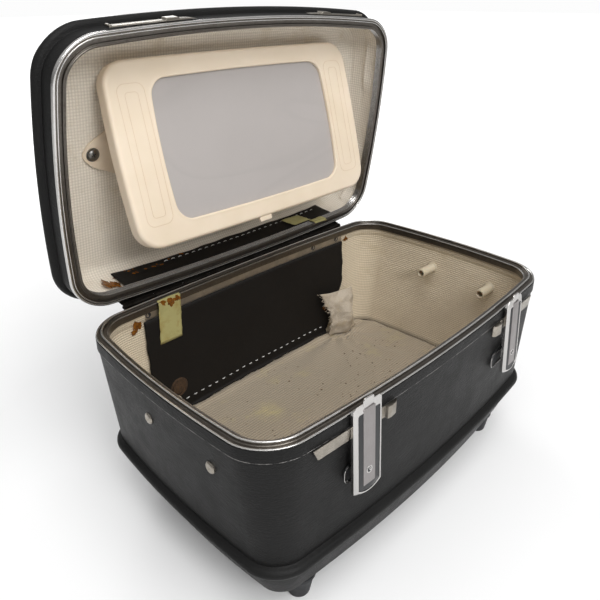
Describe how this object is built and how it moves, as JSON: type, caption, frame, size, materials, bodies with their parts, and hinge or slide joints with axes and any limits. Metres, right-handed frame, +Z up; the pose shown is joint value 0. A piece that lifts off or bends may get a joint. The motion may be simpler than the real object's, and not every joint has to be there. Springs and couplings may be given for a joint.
{
  "type": "makeup train case",
  "caption": "Hard-shell vanity train case with a hinged lid, a tilting mirror inside it, lever latches, a folding handle, a fabric lining and tray pegs.",
  "frame": {"origin": "centre of the bounding box's bottom face with the lid open, on the plane the feet stand on", "axes": "+X along the case's width, left to right seen from the front; +Y from the latches to the hinge; +Z up"},
  "size_m": [0.4012, 0.3068, 0.4245],
  "materials": {
    "board": "dark fibre board, stitched",
    "brushed": "brushed along its length",
    "chrome": "polished plate",
    "cream_plastic": "satin moulding",
    "flap": "loose edge of the lining",
    "floor_pad": "cream lining on board",
    "glass": "silvered",
    "grip": "satin moulding",
    "inlay": "dark painted inlay",
    "lining_base": "ribbed cream lining",
    "lining_lid": "small dimpled cream lining",
    "nickel": "warm nickel plate",
    "peg": "satin moulding",
    "rim": "worn polished extrusion",
    "rubber": "matt moulded foot",
    "shell": "leather-grain moulded shell, semi-gloss",
    "steel": "dull plate",
    "tape": "old tape"
  },
  "bodies": {
    "base": {"back_board": "board", "back_strip": "steel", "base_lining": "lining_base", "base_rim_frame": "rim", "base_shell": "shell", "bottom_pan": "shell", "floor_board": "board", "floor_pad": "floor_pad", "foot_front_left": "rubber", "foot_front_right": "rubber", "foot_rear_left": "rubber", "foot_rear_right": "rubber", "hinge_leaf_base": "steel", "hinge_pin": "steel", "latch_bracket_left": "nickel", "latch_bracket_right": "nickel", "latch_pin_left": "steel", "latch_pin_right": "steel", "lining_flap": "flap", "peg_rivet_left_front": "nickel", "peg_rivet_left_rear": "nickel", "peg_rivet_right_front": "nickel", "peg_rivet_right_rear": "nickel", "striker_plate_left": "chrome", "striker_plate_right": "chrome", "tape_tab_base": "tape", "tray_peg_left_front": "peg", "tray_peg_left_rear": "peg", "tray_peg_right_front": "peg", "tray_peg_right_rear": "peg"},
    "lid": {"handle_bracket_left": "nickel", "handle_bracket_right": "nickel", "hinge_leaf_lid": "steel", "lid_hinge_cover": "board", "lid_keeper_left": "nickel", "lid_keeper_right": "nickel", "lid_lining": "lining_lid", "lid_rim_frame": "rim", "lid_shell": "shell", "lid_top": "shell", "mirror_bracket_left": "cream_plastic", "mirror_bracket_right": "cream_plastic", "mirror_screw_left": "steel", "mirror_screw_right": "steel"},
    "handle": {"handle_grip": "grip"},
    "latch_left": {"latch_lever_left": "chrome", "lever_inlay_left": "inlay", "lever_stripe_left": "brushed", "lock_cylinder_left": "chrome"},
    "latch_right": {"latch_lever_right": "chrome", "lever_inlay_right": "inlay", "lever_stripe_right": "brushed", "lock_cylinder_right": "chrome"},
    "mirror": {"mirror_back": "cream_plastic", "mirror_frame": "cream_plastic", "mirror_glass": "glass", "mirror_pin_left": "steel", "mirror_pin_right": "steel"}
  },
  "joints": [
    {"name": "lid_hinge", "type": "hinge", "parent": "base", "child": "lid", "pos_m": [0, 0.09864, 0.1729], "axis": [1, 0, 0], "range_deg": [0, 82.2]},
    {"name": "mirror_tilt", "type": "hinge", "parent": "lid", "child": "mirror", "pos_m": [0, 0.09508, 0.30716], "axis": [1, 0, 0], "range_deg": [-3, 38]},
    {"name": "handle_fold", "type": "hinge", "parent": "lid", "child": "handle", "pos_m": [0, 0.1423, 0.30434], "axis": [1, 0, 0], "range_deg": [0, 180]},
    {"name": "latch_left_lift", "type": "hinge", "parent": "base", "child": "latch_left", "pos_m": [-0.10442, -0.1473, 0.16], "axis": [0.9985, -0.0547, 0], "range_deg": [0, 5]},
    {"name": "latch_right_lift", "type": "hinge", "parent": "base", "child": "latch_right", "pos_m": [0.10442, -0.1473, 0.16], "axis": [0.9985, 0.0547, 0], "range_deg": [0, 5]}
  ]
}
